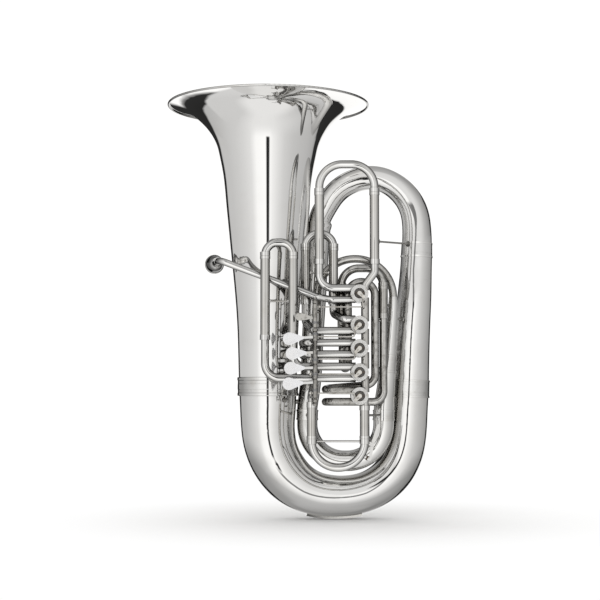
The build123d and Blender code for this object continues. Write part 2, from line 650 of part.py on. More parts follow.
with BuildPart() as second_slide:
    upper, lower = SECOND_LEG_Z
    tube([(SECOND_X, SECOND_MOUTH_Y + 1, upper), (SECOND_X, SECOND_CROWN_Y, upper),
          (SECOND_X, SECOND_CROWN_Y, lower), (SECOND_X, SECOND_MOUTH_Y + 1, lower)],
         12.2, CROOK_R, CROOK_BORE)
    for z in SECOND_LEG_Z:
        sleeve((SECOND_X, SECOND_MOUTH_Y + 0.5, z), (SECOND_X, SECOND_MOUTH_Y + 6, z),
               SECOND_CAP_R, 8.2)
        sleeve((SECOND_X, SECOND_MOUTH_Y + 4, z), (SECOND_X, SECOND_MOUTH_Y - 22, z),
               INNER_R, INNER_BORE)
save_piece(second_slide.part, "second_slide")

# third valve slide, in front of the bell
with BuildPart() as third_slide_receiver:
    for place, port_z, bend in zip(THIRD_LEGS, (THIRD_Z - PORT_OFF, THIRD_Z + PORT_OFF),
                                   (32, 24)):
        tube([(*place, THIRD_JOINT_Z), (*place, port_z), (TUBE_END_X, THIRD_Y, port_z)],
             bend, TUBE_R, TUBE_BORE)
    for place in THIRD_LEGS:
        outer_leg(place, THIRD_JOINT_Z, THIRD_MOUTH_Z)
    cut_casing(THIRD_Z)
save_piece(third_slide_receiver.part, "third_slide_receiver")

with BuildPart() as third_slide:
    crook(THIRD_LEGS, THIRD_MOUTH_Z, 608.0, 28, 160)
save_piece(third_slide.part, "third_slide")

# fourth valve circuit: two arches behind the valves, the outer one is the slide
left, right = FOURTH_LEGS
arch_left, arch_right = ARCH_LEGS
with BuildPart() as fourth_valve_branch:
    port_z = FOURTH_Z + PORT_OFF
    tube([(TUBE_END_X, PORT_Y, port_z), (FOURTH_TURN_X, PORT_Y, port_z),
          (FOURTH_TURN_X, arch_left[1], 291), (*arch_right, 300),
          (*arch_right, ARCH_TOP_Z), (*arch_left, ARCH_TOP_Z), (*arch_left, 335),
          (166, -44, 335), (166, -44, 392), (*left, 430), (*left, FOURTH_JOINT_Z)],
         [16.2, 16.2, 24, 29, 29, 17, 17, 14, 14], TUBE_R, TUBE_BORE)
    port_z = FOURTH_Z - PORT_OFF
    tube([(TUBE_END_X, PORT_Y, port_z), (FOURTH_TURN_X, PORT_Y, port_z),
          (FOURTH_TURN_X, right[1], 262), (*right, 262), (*right, FOURTH_JOINT_Z)],
         [21, 21, 24], TUBE_R, TUBE_BORE)
    for place in FOURTH_LEGS:
        outer_leg(place, FOURTH_JOINT_Z, FOURTH_MOUTH_Z)
    cut_casing(FOURTH_Z)
save_piece(fourth_valve_branch.part, "fourth_valve_branch")

with BuildPart() as fourth_slide:
    crook(FOURTH_LEGS, FOURTH_MOUTH_Z, 556, 38, 54, ferrule_r=11.0, ferrule_top=8)
save_piece(fourth_slide.part, "fourth_slide")

# ---------------------------------------------------------------- main tuning slide
# below the valves, its mouths facing down
left, right = MAIN_LEGS
with BuildPart() as main_slide_receiver:
    sleeve_z(left, 250, 262, JOINT_R, 8.95)
    sleeve_z(left, 251, MAIN_MOUTH_Z, SLEEVE_R, SLEEVE_BORE)
    sleeve_z(left, MAIN_MOUTH_Z + 6, MAIN_MOUTH_Z, CAP_LEG_R, SLEEVE_BORE)
    sleeve_z(right, FOURTH_Z - KNUCKLE_INSET, 250, TUBE_R, TUBE_BORE)
    sleeve_z(right, 244, 254, JOINT_R, TUBE_BORE)
    sleeve_z(right, 245, MAIN_MOUTH_Z, SLEEVE_R, SLEEVE_BORE)
    sleeve_z(right, MAIN_MOUTH_Z + 6, MAIN_MOUTH_Z, CAP_LEG_R, SLEEVE_BORE)
    cut_casing(FOURTH_Z)
save_piece(main_slide_receiver.part, "main_slide_receiver")


def key_point(distance):
    """Point on the nipple's axis at a distance from its centre."""
    return (MAIN_MID_X + distance * math.cos(KEY_ANGLE), PORT_Y,
            KEY_CENTRE_Z - distance * math.sin(KEY_ANGLE))


with BuildPart() as main_slide:
    tube([(*left, 181), (*left, MAIN_CROWN_Z), (*right, MAIN_CROWN_Z), (*right, 181)],
         56.5, 9.2, 8.2)
    for place in MAIN_LEGS:
        sleeve_z(place, MAIN_MOUTH_Z - 0.5, 172, CAP_LEG_R, 8.3)
        sleeve_z(place, 178, 242, INNER_R, INNER_BORE)
    # pull bar between the two ferrules
    rod((left[0] + 9.3, PORT_Y, PULL_BAR_Z), (right[0] - 9.3, PORT_Y, PULL_BAR_Z), 2.2)
    # water key nipple, drilled through into the crook
    rod(key_point(64), key_point(69.5), 4.0)
    rod(key_point(52), key_point(75), 2.2, Mode.SUBTRACT)
    # hinge lugs and pin
    for lug_y in (PORT_Y - 5.2, PORT_Y + 3.2):
        with BuildSketch(Plane.XZ.offset(-lug_y), mode=Mode.PRIVATE) as lug:
            with Locations((HINGE_X, HINGE_Z)):
                Circle(3.2)
            with Locations((221, 173)):
                Rectangle(3, 7)
            make_hull()
        extrude(lug.sketch, amount=-2)
    rod_y(HINGE_X, HINGE_Z, PORT_Y - 6, PORT_Y + 6, HINGE_PIN_R)
save_piece(main_slide.part, "main_slide")

with BuildPart() as water_key:
    hinge_disc = (HINGE_X, HINGE_Z, 3.4)
    with BuildSketch(Plane.XZ.offset(-PORT_Y - 2), mode=Mode.PRIVATE) as key:
        add(hull(Plane.XY, hinge_disc, (241, 212, 2.4)))
        add(hull(Plane.XY, hinge_disc, (222.3, 138.5, 2.8)))
    extrude(key.sketch, amount=4)
    rod_y(HINGE_X, HINGE_Z, -125, -95, HINGE_PIN_R + 0.06, Mode.SUBTRACT)
    # cup that holds the cork
    rod(key_point(KEY_CUP_FLOOR), key_point(KEY_CUP_END), 5.4)
    rod(key_point(60.0), key_point(KEY_CUP_FLOOR), 5.6, Mode.SUBTRACT)
save_piece(water_key.part, "water_key")

with BuildPart() as water_key_cork:
    rod(key_point(69.6), key_point(KEY_CUP_FLOOR), 5.0)
save_piece(water_key_cork.part, "water_key_cork")

# ---------------------------------------------------------------- leadpipe and mouthpiece
with BuildPart() as leadpipe:
    port_z = THUMB_Z - PORT_OFF
    tube([tuple(KNEE + MOUTH_DIR * 31), tuple(KNEE), (112, -97, 490), (140, PORT_Y, port_z),
          (TUBE_END_X, PORT_Y, port_z)], [20, 20, 20], LEADPIPE_R, LEADPIPE_BORE)
    cut_casing(THUMB_Z)
save_piece(leadpipe.part, "leadpipe")

with BuildPart() as mouthpiece_receiver:
    # distances from the knee, outer radius, bore
    for near, far, outer, bore in ((24, 52, 9.0, LEADPIPE_R + 0.02),
                                   (32, 52, 8.0, RECEIVER_BORE),
                                   (48, 53, 10.2, RECEIVER_BORE)):
        sleeve(KNEE + MOUTH_DIR * near, KNEE + MOUTH_DIR * far, outer, bore)
save_piece(mouthpiece_receiver.part, "mouthpiece_receiver")

# mouthpiece section, (radius, distance from the shank's tip)
SHANK = [(6.5, 0), (6.5, 20.5), (8.4, 31.5), (9.6, 33.5), (9.6, 35.0), (9.0, 37.0)]
CUP_OUTSIDE = [(9.0, 37.0), (15.5, 46), (18.6, 58), (19.6, 65.5)]
CUP_RIM = [(19.6, 65.5), (21.5, 67.5), (21.5, 71.0), (20.3, 72.4), (17.4, 72.4), (16.3, 70.6)]
CUP_INSIDE = [(16.3, 70.6), (14.6, 58), (10.2, 45), (4.1, 37.5)]
BACKBORE = [(4.1, 37.5), (4.1, 34), (5.6, 0), (6.5, 0)]


def toward_mouth(rows):
    """Section points in the mouthpiece plane, whose y runs against MOUTH_DIR."""
    return [(radius, -distance) for radius, distance in rows]


with BuildPart() as mouthpiece:
    mouthpiece_plane = Plane(origin=KNEE + MOUTH_DIR * MOUTHPIECE_START, x_dir=Vector(0, 0, 1),
                             z_dir=MOUTH_DIR.cross(Vector(0, 0, 1)).normalized())
    with BuildSketch(mouthpiece_plane):
        with BuildLine():
            Polyline(*toward_mouth(SHANK))
            Spline(*toward_mouth(CUP_OUTSIDE))
            Polyline(*toward_mouth(CUP_RIM))
            Spline(*toward_mouth(CUP_INSIDE))
            Polyline(*toward_mouth(BACKBORE))
        make_face()
    revolve(axis=Axis(mouthpiece_plane.origin, MOUTH_DIR))
save_piece(mouthpiece.part, "mouthpiece")

# ---------------------------------------------------------------- lever frame
with BuildPart() as lever_axle:
    rod_z(AXLE_X, AXLE_Y, 258, 482, AXLE_R)
    rod_z(AXLE_X, AXLE_Y, 254.5, 258.5, AXLE_END_R)
    rod_z(AXLE_X, AXLE_Y, 481.5, 485, AXLE_END_R)
save_piece(lever_axle.part, "lever_axle")

with BuildPart() as lever_frame:
    # upright bar
    with Locations((AXLE_X, -130, 369)):
        Box(6, 6, 224)
    # brackets that carry the axle
    for z in (264.5, 415.5, 474.5):
        with Locations((AXLE_X, -151, z)):
            Box(8, 42, 5)
        rod_z(AXLE_X, AXLE_Y - 1, z - 2.5, z + 2.5, 6.2)
    rod_z(AXLE_X, AXLE_Y, 240, 500, AXLE_BORE, Mode.SUBTRACT)
    # posts with feet saddled on the valve tubing
    for y, z in ((PORT_Y, FIRST_Z - PORT_OFF), (PORT_Y, SECOND_Z + PORT_OFF),
                 (THIRD_Y, THIRD_Z - PORT_OFF)):
        rod_y(AXLE_X, z, -128, y, 3.2)
        rod_y(AXLE_X, z, y - TUBE_R - 1.6, y - 6, 5.6)
        rod((AXLE_X - 20, y, z), (AXLE_X + 20, y, z), TUBE_R, Mode.SUBTRACT)
save_piece(lever_frame.part, "lever_frame")

# return springs coiled loosely round the lever hubs
with BuildPart() as return_springs:
    for bottom_z, height in SPRINGS:
        with BuildLine(mode=Mode.PRIVATE) as coil:
            Helix(1.7, height, 6.5, center=(AXLE_X, AXLE_Y, bottom_z))
        wire_plane = Plane(origin=coil.line @ 0, z_dir=coil.line % 0)
        with BuildSketch(wire_plane, mode=Mode.PRIVATE) as wire:
            Circle(0.6)
        sweep(sections=wire.sketch, path=coil.line, is_frenet=True)
save_piece(return_springs.part, "return_springs")


# ---------------------------------------------------------------- braces
def upright(place, low, high, radius):
    """Vertical cylinder (start, end, radius) at an (x, y) place, to cut a stay with."""
    return (*place, low), (*place, high), radius


def stay(a, b, radius, cut_a, cut_b, foot=2.2):
    """Round stay between two tubes, with a round foot at each end saddled to its tube.

    Each cut is the tube's cylinder as (start, end, radius)."""
    a, b = Vector(*a), Vector(*b)
    along = (b - a).normalized()
    rod(a, b, radius)
    for (start, stop, tube_r), end, inward in ((cut_a, a, along), (cut_b, b, along * -1)):
        axis = (Vector(*stop) - Vector(*start)).normalized()
        across = (inward - axis * inward.dot(axis)).length
        face = end + inward * (tube_r / max(across, 0.3))
        rod(face - inward * 1.2, face + inward * 1.6, radius + foot)
    for start, stop, tube_r in (cut_a, cut_b):
        rod(start, stop, tube_r, Mode.SUBTRACT)


BELL_AXIS = (0, 0)
with BuildPart() as stays:
    # third slide legs to each other
    left, right = THIRD_LEGS
    stay((*left, 479.8), (*right, 479.8), 2.0,
         upright(left, 460, 500, SLEEVE_R), upright(right, 460, 500, SLEEVE_R))
    # first slide legs to each other
    left, right = FIRST_LEGS
    stay((*left, 545), (*right, 545), 2.0,
         upright(left, 525, 565, SLEEVE_R), upright(right, 525, 565, SLEEVE_R))
    # long stay from the thumb slide to the outer branch
    stay((*THUMB_LEGS[1], 611), (336.0, 13.9, 617), 2.2,
         upright(THUMB_LEGS[1], 590, 640, SLEEVE_R),
         ((335.4, 13.5, 585), (336.9, 14.5, 650), 33.85), 4.5)
    # third slide legs to the bell
    left, right = THIRD_LEGS
    stay((*left, 450), (0, 0, 450), 3.0,
         upright(left, 430, 470, SLEEVE_R), upright(BELL_AXIS, 420, 480, 69.98), 3.5)
    stay((*right, 525), (25, 0, 525), 3.0,
         upright(right, 505, 545, SLEEVE_R), upright(BELL_AXIS, 500, 560, 76.1), 3.5)
    # main tuning slide to the inner bow, both sides
    left, right = MAIN_LEGS
    bow_left, bow_right = INNER_BOW_LEFT[:2], INNER_BOW_RIGHT[:2]
    stay((*right, 233), (*bow_right, 233), 2.6,
         upright(right, 215, 248, SLEEVE_R), upright(bow_right, 200, 260, 24.0), 3.0)
    stay((*left, 232), (*bow_left, 232), 2.6,
         upright(left, 215, 245, SLEEVE_R), upright(bow_left, 200, 260, 24.15), 3.0)
    # inner arch to the left branch
    arch_cut = upright((INNER_ARCH_X, -43), 400, 460, INNER_ARCH_R)
    stay((INNER_ARCH_X, -43, 430), (102.3, 22.8, 430), 2.6,
         arch_cut, ((100.8, 20.7, 400), (103.8, 25, 460), 24.85), 3.0)
    # inner branch to the outer branch
    stay((276.0, -40.5, 446), (326.4, 12.3, 446), 2.6,
         ((274.2, -39.8, 420), (277.4, -41.2, 470), 12.0),
         ((323.7, 12, 410), (329.0, 12.6, 480), 40.15), 3.5)
    # fourth valve tubing to the inner arch, to the inner branch and to itself
    stay((*arch_left, 420), (INNER_ARCH_X, -43.2, 420), 2.0,
         upright(arch_left, 400, 440, TUBE_R), arch_cut, 2.0)
    right = FOURTH_LEGS[1]
    stay((*right, 475), (277.4, -41.4, 475), 2.0,
         upright(right, 455, 495, SLEEVE_R),
         ((277.0, -41.0, 460), (278.2, -41.9, 490), 10.9), 2.0)
    stay((*arch_right, 440), (*right, 440), 2.0,
         upright(arch_right, 420, 460, TUBE_R), upright(right, 400, 480, TUBE_R), 0.8)
    # bell end of the bottom bow to the left branch
    stay((0, 0, 262), (90.6, 11.6, 262), 3.0,
         upright(BELL_AXIS, 240, 290, 63.2), ((89.2, 10.6, 245), (92.2, 12.9, 280), 24.0), 2.0)
save_piece(stays.part, "stays")

# two carrying rings for a strap on the player's side: ring centre, post's y from and to
STRAP_RINGS = [((322.4, 62.2, 385), 53.7, 57.0), ((-20, 72.6, 430), 65.0, 67.6)]
with BuildPart() as strap_rings:
    for centre, post_from, post_to in STRAP_RINGS:
        with Locations(Plane(origin=centre, x_dir=(0, 1, 0), z_dir=(1, 0, 0))):
            Torus(7.5, 1.8)
        rod_y(centre[0], centre[2], post_from, post_to, 4.0)
    # shape the second post's foot to the bell
    rod_z(*BELL_AXIS, 405, 455, 68.9, Mode.SUBTRACT)
save_piece(strap_rings.part, "strap_rings")
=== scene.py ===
"""A silver-plated brass instrument with valves, in a white studio.

It stands upright on its bottom bow: Z is up, the front faces -Y toward the camera, X runs right.
The CAD pieces keep their shape; this script gives them finishes and builds the stage.
"""
import bpy, json, math
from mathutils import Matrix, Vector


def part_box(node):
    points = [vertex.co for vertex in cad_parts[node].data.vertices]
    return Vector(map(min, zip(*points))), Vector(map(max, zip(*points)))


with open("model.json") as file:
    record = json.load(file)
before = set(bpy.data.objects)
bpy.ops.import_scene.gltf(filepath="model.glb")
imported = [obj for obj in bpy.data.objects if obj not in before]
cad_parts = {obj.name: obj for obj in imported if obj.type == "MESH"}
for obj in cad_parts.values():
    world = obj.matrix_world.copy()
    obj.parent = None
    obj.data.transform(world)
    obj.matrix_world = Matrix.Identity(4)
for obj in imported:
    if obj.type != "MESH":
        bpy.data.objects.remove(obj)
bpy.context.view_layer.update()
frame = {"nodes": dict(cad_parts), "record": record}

# Driving places of the instrument, metres
BOW_CENTRE_X, BOW_CENTRE_Z = 0.0890, 0.2107
BELL_AXIS = (-0.072274, 0.0)          # x, y of the upright axis the bell is spun about
BRANCH_LEFT_LIMIT = 0.21              # the branch line is drawn only right of this x


# ------------------------------------------------------------------ node helpers
class Net:
    """A shader node tree. All methods but feed and add return output sockets."""

    def __init__(self, tree):
        tree.nodes.clear()
        self.tree = tree

    def feed(self, node, inputs):
        """Links each input that is given a socket and sets each that is given a value."""
        for key, source in dict(inputs).items():
            if isinstance(source, bpy.types.NodeSocket):
                self.tree.links.new(source, node.inputs[key])
            else:
                node.inputs[key].default_value = source

    def add(self, kind, inputs=(), **settings):
        node = self.tree.nodes.new("ShaderNode" + kind)
        for key, value in settings.items():
            setattr(node, key, value)
        self.feed(node, inputs)
        return node

    def coords(self, kind="Object"):
        return self.add("TexCoord").outputs[kind]

    def split(self, source):
        return self.add("SeparateXYZ", {0: source}).outputs

    def calc(self, operation, *values, **settings):
        return self.add("Math", enumerate(values), operation=operation, **settings).outputs[0]

    def product(self, result, *factors):
        for factor in factors:
            result = self.calc("MULTIPLY", result, factor)
        return result

    def vector(self, operation, *values):
        keys = (0, "Scale") if operation == "SCALE" else (0, 1)
        node = self.add("VectorMath", zip(keys, values), operation=operation)
        return node.outputs["Value" if operation in ("DOT_PRODUCT", "DISTANCE") else "Vector"]

    def step(self, value, start, end):
        """Smooth step from 0 at start to 1 at end; start may be the larger."""
        inputs = {0: value, 1: start, 2: end}
        return self.add("MapRange", inputs, interpolation_type="SMOOTHSTEP").outputs[0]

    def mix(self, factor, first, second):
        return self.add("Mix", {0: factor, 2: first, 3: second}, data_type="FLOAT").outputs[0]

    def multiply(self, colour, tint, factor=1.0):
        inputs = {0: factor, 6: colour, 7: tint}
        return self.add("Mix", inputs, data_type="RGBA", blend_type="MULTIPLY").outputs[2]

    def ramp(self, source, stops):
        """Colour ramp; each stop is (position, grey level or colour)."""
        node = self.add("ValToRGB", {0: source})
        elements = node.color_ramp.elements
        elements.remove(elements[-1])
        for index, (position, value) in enumerate(stops):
            element = elements.new(position) if index else elements[0]
            element.position = position
            element.color = (*value, 1) if isinstance(value, tuple) else (value,) * 3 + (1,)
        return node.outputs[0]

    def noise(self, coords, scale, detail=4.0, roughness=0.55, stretch=None):
        if stretch:
            coords = self.add("Mapping", {0: coords, "Scale": stretch}).outputs[0]
        inputs = {"Scale": scale, "Detail": detail, "Roughness": roughness, "Vector": coords}
        return self.add("TexNoise", inputs).outputs["Fac"]

    def bump(self, height, strength, distance, normal=None):
        inputs = {"Strength": strength, "Distance": distance, "Height": height}
        if normal is not None:
            inputs["Normal"] = normal
        return self.add("Bump", inputs).outputs[0]


def new_material(name):
    material = bpy.data.materials.new(name)
    material.use_nodes = True
    net = Net(material.node_tree)
    net.output = net.add("OutputMaterial")
    shader = net.add("BsdfPrincipled")
    net.feed(net.output, {0: shader.outputs[0]})
    return material, net, shader


# ------------------------------------------------------------------ shading of the metals
# Painted shade darkening toward the outline: facing value, share of the rim strength
RIM_FALLOFF = ((0.04, 0.0), (0.14, 0.17), (0.28, 0.50), (0.42, 0.84), (0.60, 1.0))
# Warm tint of the painted shade between parts, with a grime tone in it
OCCLUSION_TINT = (0.20, 0.185, 0.16)
GRAIN = 900.0                         # noise scale of the hair scratches

# Painted reflection line on the bow: x part of the direction from the bow centre, shift of the
# line across the tube
BOW_LINE = ((-0.80, 0.09), (-0.60, 0.045), (-0.38, 0.04), (-0.04, 0.015),
            (0.35, 0.0), (0.55, -0.07), (0.70, -0.15), (0.80, -0.17))
# Painted reflection line on the branch: height, shift of the line across the tube
BRANCH_LINE = ((0.46, -0.085), (0.50, -0.13), (0.554, -0.23),
               (0.62, -0.18), (0.670, -0.12), (0.72, -0.20))


def front_facing(net, normal_y):
    return net.calc("LESS_THAN", normal_y, 0.0)


# Painted shade: darkens the colour toward the outline of each part
def outline_painted_shade(net, colour, rim):
    facing = net.add("LayerWeight", {0: 0.5}).outputs["Facing"]
    stops = [(place, 1.0 - rim * share) for place, share in RIM_FALLOFF]
    return net.multiply(colour, net.ramp(facing, stops))


# Painted shade in crevices and between parts, from ambient occlusion, tinted warm like grime
def occlusion_shade(net, colour, occlusion, reach):
    node = net.add("AmbientOcclusion", {"Distance": reach}, samples=6)
    deep = tuple(1 - occlusion * (1 - c) for c in OCCLUSION_TINT)
    shallow = tuple(1 - occlusion * 0.45 * (1 - c) for c in OCCLUSION_TINT)
    return net.multiply(colour, net.ramp(node.outputs["AO"],
                                         [(0.10, deep), (0.42, shallow), (0.78, 1)]))


def streak_painted_reflection(net, colour, geometry, streak):
    """Painted reflection of a dark strip of the room above the camera: fine on upright tubes,
    broader on level ones.
    """
    x, y, z = net.split(geometry["Normal"])
    upward = net.calc("MULTIPLY_ADD", z, 0.5, 0.5)
    by_tilt = net.ramp(upward, [(0.46, 0.0), (0.50, 0.55), (0.58, 1.0), (0.70, 1.0), (0.78, 0.0)])
    by_side = net.ramp(net.calc("ABSOLUTE", x), [(0.07, 1.0), (0.19, 0.0)])
    amount = net.product(by_tilt, by_side, front_facing(net, y))
    return net.multiply(colour, net.ramp(amount, [(0.0, 1.0), (1.0, 1.0 - streak)]))


def line_offset(net, across, place):
    """Distance from the middle of a line; place is held 0.5 up, to stay positive in its ramp."""
    return net.calc("ABSOLUTE", net.calc("SUBTRACT", net.calc("ADD", across, 0.5), place))


# Painted reflection: darkens the colour along a line on the front faces
def painted_dark_line(net, colour, line, normal_y, extent):
    amount = net.product(line, front_facing(net, normal_y), extent)
    return net.multiply(colour, net.ramp(amount, [(0.0, 1), (1.0, 0.24)]))


def branch_painted_reflection(net, colour, geometry):
    """Painted thin dark reflection up the outer branch and the right half of the top bow."""
    x, _, z = net.split(geometry["Position"])
    normal_x, normal_y, _ = net.split(geometry["Normal"])
    place = net.ramp(z, [(height, 0.5 + shift) for height, shift in BRANCH_LINE])
    offset = line_offset(net, normal_x, place)
    # The line widens near the top and has soft edges
    half_width = net.calc("ADD", 0.045, net.product(net.step(z, 0.64, 0.70), 0.10))
    line = net.step(offset, net.calc("ADD", half_width, 0.02),
                    net.calc("SUBTRACT", half_width, 0.02))
    extent = net.product(net.step(z, 0.455, 0.485), net.step(z, 0.712, 0.700),
                         net.calc("GREATER_THAN", x, BRANCH_LEFT_LIMIT))
    return painted_dark_line(net, colour, line, normal_y, extent)


def bow_painted_shade_and_reflection(net, colour, geometry):
    """Painted shade on the underside, and a painted thin dark reflection line along the ridge
    from one leg to the other.
    """
    # Painted shade on undersides close to the floor, which mirror the shaded ground
    downward = net.product(net.split(geometry["Normal"])[2], -1.0)
    colour = net.multiply(colour, net.ramp(downward, [(0.12, 1.0), (0.34, 0.61), (1.0, 0.58)]))

    x, _, z = net.split(geometry["Position"])
    normal_x, normal_y, normal_z = net.split(geometry["Normal"])
    # Direction from the bow centre; above the centre it is level, for the straight legs
    out_x = net.calc("SUBTRACT", x, BOW_CENTRE_X)
    out_z = net.calc("SUBTRACT", net.calc("MINIMUM", z, BOW_CENTRE_Z), BOW_CENTRE_Z)
    length = net.calc("SQRT", net.calc("ADD", net.product(out_x, out_x),
                                       net.product(out_z, out_z)))
    out_x = net.calc("DIVIDE", out_x, length)
    out_z = net.calc("DIVIDE", out_z, length)
    across = net.calc("ADD", net.product(normal_x, out_x), net.product(normal_z, out_z))
    along = net.calc("ADD", net.product(out_x, 0.5), 0.5)
    place = net.ramp(along, [((side + 1) / 2, 0.5 + shift) for side, shift in BOW_LINE])
    line = net.step(line_offset(net, across, place), 0.046, 0.022)
    extent = net.product(net.step(out_x, -0.86, -0.74), net.step(out_x, 0.84, 0.70))
    return painted_dark_line(net, colour, line, normal_y, extent)


def spun_normal(net, geometry, axis):
    """Normal of a spun part, taken straight from its upright axis and so free of facets."""
    normal = geometry["Normal"]
    from_axis = net.vector("SUBTRACT", geometry["Position"], (*axis, 0.0))
    radial = net.vector("NORMALIZE", net.vector("MULTIPLY", from_axis, (1.0, 1.0, 0.0)))
    outward = net.calc("SIGN", net.vector("DOT_PRODUCT", normal, radial))
    z = net.split(normal)[2]
    level_squared = net.calc("SUBTRACT", 1.0, net.product(z, z), use_clamp=True)
    level = net.product(net.calc("SQRT", level_squared), outward)
    return net.vector("NORMALIZE", net.vector(
        "ADD", net.vector("SCALE", radial, level),
        net.vector("MULTIPLY", normal, (0.0, 0.0, 1.0))))


def metal(name, base, tarnish, roughness, scratch=0.015, dent=0.02, patch=6.0, metallic=1.0,
          rim=0.0, occlusion=0.0, reach=0.05, streak=0.0, shade=None, axis=None):
    """Metal with slow colour drift, smudges, hair scratches, soft dents, darker crevices and
    painted shade.

    roughness is (wiped, smudged); scratch and dent are bump strengths; patch is the noise
    scale of the tarnish; rim, occlusion and streak are the strengths of painted shade toward
    the outline, painted shade between parts and a painted dark strip reflection; reach is the
    occlusion distance; shade is a further step of painted shade or painted reflection; axis
    marks a part spun about it.
    """
    material, net, shader = new_material(name)
    coords = net.coords()
    geometry = net.add("NewGeometry").outputs

    drift = net.noise(coords, scale=patch, detail=5.0, roughness=0.6)
    light = tuple(min(1, c * 1.02) for c in base)
    colour = net.ramp(drift, [(0.32, tarnish), (0.50, base), (1.0, light)])
    crevices = net.ramp(geometry["Pointiness"], [(0.40, (0.42, 0.39, 0.34)), (0.485, 1),
                                                 (0.56, 1), (0.66, (1.0, 0.99, 0.97))])
    colour = net.multiply(colour, crevices, factor=0.75)
    if rim:
        colour = outline_painted_shade(net, colour, rim)
    if occlusion:
        colour = occlusion_shade(net, colour, occlusion, reach)
    if streak:
        colour = streak_painted_reflection(net, colour, geometry, streak)
    if shade:
        colour = shade(net, colour, geometry)

    # Smudges and wiped areas: inputs 1 and 2 are the noise range, 3 and 4 the roughness
    fine = net.noise(coords, scale=70.0, detail=6.0, roughness=0.65)
    smudges = net.add("MapRange", {0: net.mix(0.35, drift, fine), 1: 0.35, 2: 0.68,
                                   3: roughness[0], 4: roughness[1]}).outputs[0]

    # Hair scratches run along Z and along X, over wide shallow dents
    upright = net.noise(coords, GRAIN, detail=2.0, roughness=0.5, stretch=(1.0, 1.0, 0.03))
    level = net.noise(coords, GRAIN * 0.8, detail=2.0, roughness=0.5, stretch=(0.03, 0.6, 1.0))
    normal = spun_normal(net, geometry, axis) if axis else None
    normal = net.bump(net.calc("ADD", upright, level), scratch, distance=0.0004, normal=normal)
    dents = net.noise(coords, scale=9.0, detail=2.0, roughness=0.4)
    normal = net.bump(dents, dent, distance=0.0006, normal=normal)

    net.feed(shader, {"Base Color": colour, "Metallic": metallic, "Roughness": smudges,
                      "Normal": normal})
    return material


def plate(name, **changes):
    """Bright silver plate of the large tubes, with any changes to it."""
    bright = dict(base=(0.94, 0.935, 0.925), tarnish=(0.90, 0.89, 0.87),
                  roughness=(0.012, 0.040), scratch=0.0010, dent=0.008,
                  occlusion=0.45, reach=0.04)
    return metal(name, **(bright | changes))


def natural_cork():
    material, net, shader = new_material("natural_cork")
    coords = net.coords()
    cells = net.add("TexVoronoi", {"Scale": 900.0, "Vector": coords}).outputs["Distance"]
    mottle = net.noise(coords, scale=500.0, detail=5.0, roughness=0.6)
    colour = net.ramp(mottle, [(0.3, (0.035, 0.026, 0.020)), (0.5, (0.085, 0.064, 0.047)),
                               (0.75, (0.150, 0.115, 0.085))])
    net.feed(shader, {"Base Color": colour, "Roughness": 0.85,
                      "Normal": net.bump(cells, strength=0.5, distance=0.0003)})
    return material


# ------------------------------------------------------------------ finishes
silver = plate("silver_plate")
# The bow and branch plates carry painted shade and painted reflection lines
bow = plate("silver_plate_bow", rim=0.22, shade=bow_painted_shade_and_reflection)
branch = plate("silver_plate_branch", occlusion=0.50, rim=0.30, shade=branch_painted_reflection)
inner = metal("silver_plate_inner", base=(0.93, 0.925, 0.91), tarnish=(0.88, 0.87, 0.845),
              roughness=(0.012, 0.045), scratch=0.0012, dent=0.010,
              rim=0.42, occlusion=0.75, reach=0.06)
spun = plate("silver_plate_bell", dent=0.006, axis=BELL_AXIS)
tubing = metal("silver_plate_tube", base=(0.97, 0.965, 0.95), tarnish=(0.88, 0.865, 0.83),
               roughness=(0.012, 0.045), scratch=0.0018, dent=0.010, patch=14.0,
               rim=0.82, occlusion=0.95, streak=0.52)
ferrule = metal("silver_ferrule", base=(0.90, 0.895, 0.88), tarnish=(0.80, 0.785, 0.755),
                roughness=(0.04, 0.12), scratch=0.004, patch=20.0, rim=0.55, occlusion=0.7)
satin = metal("satin_silver", base=(0.86, 0.86, 0.875), tarnish=(0.80, 0.80, 0.815),
              roughness=(0.38, 0.55), scratch=0.05, patch=60.0, metallic=0.35, rim=0.45)
ring = metal("brushed_ring", base=(0.76, 0.755, 0.74), tarnish=(0.52, 0.505, 0.475),
             roughness=(0.20, 0.38), scratch=0.16, patch=140.0, metallic=0.75,
             rim=0.5, occlusion=0.6, reach=0.008)
# Dark plate of painted shade for the valve recesses
recess = metal("valve_recess", base=(0.17, 0.165, 0.16), tarnish=(0.06, 0.055, 0.05),
               roughness=(0.12, 0.36), scratch=0.10, patch=200.0, occlusion=0.9, reach=0.012)
nickel = metal("nickel_silver", base=(0.74, 0.72, 0.68), tarnish=(0.50, 0.47, 0.42),
               roughness=(0.10, 0.22), patch=50.0, rim=0.5, occlusion=0.7, reach=0.02)
brass = metal("bare_brass", base=(0.80, 0.64, 0.38), tarnish=(0.55, 0.42, 0.25),
              roughness=(0.16, 0.34), patch=30.0, occlusion=0.5, reach=0.01)
steel = metal("ground_steel", base=(0.56, 0.56, 0.57), tarnish=(0.36, 0.355, 0.345),
              roughness=(0.14, 0.30), patch=50.0, rim=0.5, occlusion=0.7, reach=0.02)
cork = natural_cork()
mouth = metal("silver_mouthpiece", base=(0.90, 0.895, 0.885), tarnish=(0.66, 0.65, 0.63),
              roughness=(0.015, 0.06), scratch=0.002, dent=0.010, patch=40.0,
              rim=0.90, occlusion=1.0, reach=0.014)
# Darker plate of painted shade, for the thumb lever and the shaded lower left of the fourth valve
# branch
shaded = metal("silver_plate_shaded", base=(0.50, 0.49, 0.465), tarnish=(0.20, 0.19, 0.175),
               roughness=(0.02, 0.08), scratch=0.004, dent=0.03, patch=110.0,
               rim=0.55, occlusion=1.0)
